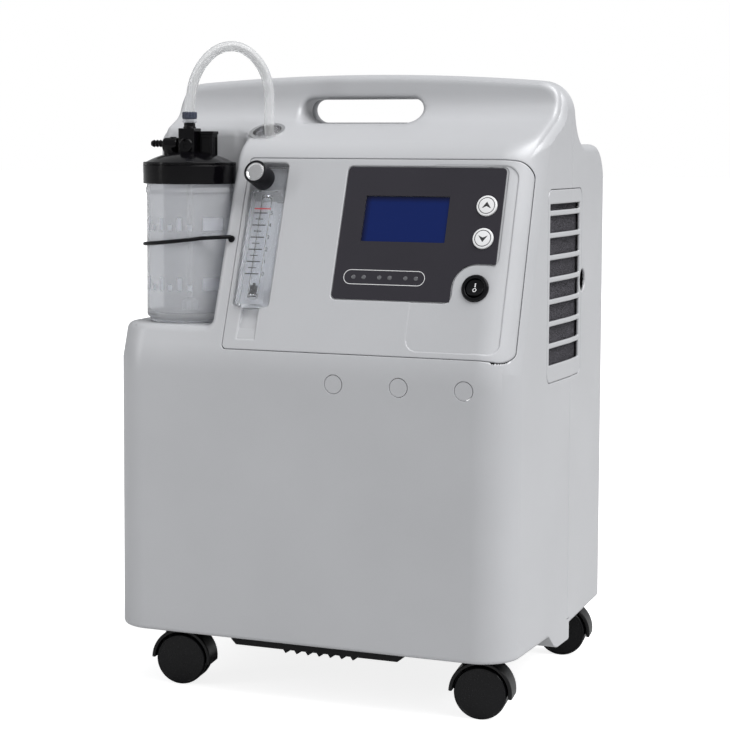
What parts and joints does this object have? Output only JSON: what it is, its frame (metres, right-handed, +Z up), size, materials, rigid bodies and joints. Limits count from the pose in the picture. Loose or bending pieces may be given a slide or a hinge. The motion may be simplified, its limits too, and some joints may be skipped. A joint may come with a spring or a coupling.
{
  "type": "oxygen concentrator",
  "caption": "Home oxygen concentrator on swivel casters: silver casing with a carrying handle, sloping console with screen, flow meter and humidifier bottle, foam-backed side vent.",
  "frame": {"origin": "on the floor, below the middle of the casing", "axes": "+X to the user's right, +Y towards the back, +Z up; the console faces -Y"},
  "size_m": [0.4172, 0.315, 0.6311],
  "materials": {
    "casing_silver": "moulded ABS with a fine silver-grey satin paint",
    "base_black": "moulded black plastic, fine grain",
    "console_charcoal": "printed polycarbonate overlay, satin",
    "display_blue": "unlit blue liquid crystal window",
    "led_lens": "unlit diffused lens",
    "circuit_board": "green solder mask",
    "switch_black": "moulded black nylon, semi-gloss",
    "button_white": "white moulded key with a printed ring and arrow",
    "clear_acrylic": "clear machined acrylic, polished",
    "float_black": "black float",
    "valve_brass": "turned brass",
    "knob_black": "black ribbed knob",
    "bright_metal": "bright metal trim",
    "hose_clear": "clear soft PVC tube",
    "nut_blue_grey": "blue-grey moulded nut",
    "humidifier_black": "black moulded polypropylene, semi-gloss",
    "bottle_clear": "clear moulded bottle",
    "strap_rubber": "black rubber",
    "foam_black": "open-cell black filter foam",
    "grille_grey": "dark grey plastic",
    "screw_steel": "zinc plated steel",
    "breaker_red": "red moulded button",
    "cast_alloy": "die-cast aluminium",
    "drawn_alloy": "drawn aluminium",
    "coil_copper": "copper tube",
    "hose_black": "black hose",
    "caster_black": "black nylon, satin",
    "wheel_black": "black nylon wheel, slight sheen"
  },
  "bodies": {
    "casing": {"front_shell": "casing_silver", "rear_shell": "casing_silver", "screw_plugs": "casing_silver", "front_panel": "casing_silver", "base_pan": "base_black", "underside_tray": "base_black", "console_plate": "console_charcoal", "display_screen": "display_blue", "indicator_leds": "led_lens", "control_board": "circuit_board", "rocker_bezel": "switch_black", "flowmeter_body": "clear_acrylic", "needle_valve": "valve_brass", "outlet_cup": "bright_metal", "outlet_nipple": "clear_acrylic", "outlet_hose": "hose_clear", "inlet_fitting": "humidifier_black", "humidifier_cap": "humidifier_black", "outlet_nozzle": "humidifier_black", "relief_valve": "humidifier_black", "dip_tube": "bottle_clear", "bottle_strap": "strap_rubber", "intake_grille": "grille_grey", "shell_screws": "screw_steel", "power_inlet": "switch_black", "circuit_breaker": "switch_black", "exhaust_grille": "grille_grey", "compressor": "cast_alloy", "compressor_mounts": "strap_rubber", "sieve_beds": "drawn_alloy", "product_tank": "drawn_alloy", "valve_block": "cast_alloy", "fan_frame": "base_black", "bulkhead": "grille_grey", "silencer": "base_black", "cooling_coil": "coil_copper", "motor_capacitor": "drawn_alloy", "inner_hoses": "hose_black", "caster_sockets": "screw_steel"},
    "flow_knob": {"flow_knob": "knob_black", "knob_cap": "bright_metal"},
    "rocker": {"rocker_switch": "switch_black"},
    "up_key": {"up_button": "button_white"},
    "down_key": {"down_button": "button_white"},
    "float": {"flow_float": "float_black"},
    "cover": {"filter_cover": "casing_silver", "filter_foam": "foam_black"},
    "fan": {"fan_rotor": "grille_grey"},
    "bottle": {"humidifier_bottle": "bottle_clear"},
    "nut": {"hose_nut": "nut_blue_grey"},
    "breaker": {"breaker_button": "breaker_red"},
    "swivel_fr": {"caster_hood_fr": "caster_black"},
    "wheels_fr": {"caster_wheels_fr": "wheel_black"},
    "swivel_fl": {"caster_hood_fl": "caster_black"},
    "wheels_fl": {"caster_wheels_fl": "wheel_black"},
    "swivel_rr": {"caster_hood_rr": "caster_black"},
    "wheels_rr": {"caster_wheels_rr": "wheel_black"},
    "swivel_rl": {"caster_hood_rl": "caster_black"},
    "wheels_rl": {"caster_wheels_rl": "wheel_black"}
  },
  "joints": [
    {"name": "swivel_fr", "type": "hinge", "parent": "casing", "child": "swivel_fr", "pos_m": [0.155, -0.115, 0.06], "axis": [0, 0, 1], "continuous": true},
    {"name": "roll_fr", "type": "hinge", "parent": "swivel_fr", "child": "wheels_fr", "pos_m": [0.1649, -0.11361, 0.025], "axis": [-0.1392, 0.9903, 0], "continuous": true},
    {"name": "swivel_fl", "type": "hinge", "parent": "casing", "child": "swivel_fl", "pos_m": [-0.155, -0.115, 0.06], "axis": [0, 0, 1], "continuous": true},
    {"name": "roll_fl", "type": "hinge", "parent": "swivel_fl", "child": "wheels_fl", "pos_m": [-0.1451, -0.11361, 0.025], "axis": [-0.1392, 0.9903, 0], "continuous": true},
    {"name": "swivel_rr", "type": "hinge", "parent": "casing", "child": "swivel_rr", "pos_m": [0.16, 0.135, 0.06], "axis": [0, 0, 1], "continuous": true},
    {"name": "roll_rr", "type": "hinge", "parent": "swivel_rr", "child": "wheels_rr", "pos_m": [0.1699, 0.13639, 0.025], "axis": [-0.1392, 0.9903, 0], "continuous": true},
    {"name": "swivel_rl", "type": "hinge", "parent": "casing", "child": "swivel_rl", "pos_m": [-0.16, 0.135, 0.06], "axis": [0, 0, 1], "continuous": true},
    {"name": "roll_rl", "type": "hinge", "parent": "swivel_rl", "child": "wheels_rl", "pos_m": [-0.1501, 0.13639, 0.025], "axis": [-0.1392, 0.9903, 0], "continuous": true},
    {"name": "flow_adjust", "type": "hinge", "parent": "casing", "child": "flow_knob", "pos_m": [-0.0665, -0.09594, 0.49665], "axis": [0, -0.9397, 0.342], "range_deg": [0, 1800]},
    {"name": "power_rocker", "type": "hinge", "parent": "casing", "child": "rocker", "pos_m": [0.16, -0.12782, 0.3997], "axis": [1, 0, 0], "range_deg": [0, 20]},
    {"name": "press_up", "type": "slide", "parent": "casing", "child": "up_key", "axis": [0, 0.9397, -0.342], "range_m": [0, 0.0012], "stiffness_N_per_m": 600},
    {"name": "press_down", "type": "slide", "parent": "casing", "child": "down_key", "axis": [0, 0.9397, -0.342], "range_m": [0, 0.0012], "stiffness_N_per_m": 600},
    {"name": "float_rise", "type": "slide", "parent": "casing", "child": "float", "axis": [0, 0.342, 0.9397], "range_m": [0, 0.083]},
    {"name": "cover_swing", "type": "hinge", "parent": "casing", "child": "cover", "pos_m": [0.2061, -0.054, 0.3975], "axis": [0, 0, 1], "range_deg": [-75, 0]},
    {"name": "fan_spin", "type": "hinge", "parent": "casing", "child": "fan", "pos_m": [0.06, -0.06, 0.25], "axis": [0, 0, 1], "continuous": true},
    {"name": "bottle_unscrew", "type": "hinge", "parent": "casing", "child": "bottle", "pos_m": [-0.148, -0.095, 0.42], "axis": [0, 0, 1], "range_deg": [-360, 0]},
    {"name": "nut_turn", "type": "hinge", "parent": "casing", "child": "nut", "pos_m": [-0.148, -0.095, 0.557], "axis": [0, 0, 1], "continuous": true},
    {"name": "breaker_reset", "type": "slide", "parent": "casing", "child": "breaker", "axis": [0, -1, 0], "range_m": [0, 0.003], "stiffness_N_per_m": 400}
  ]
}
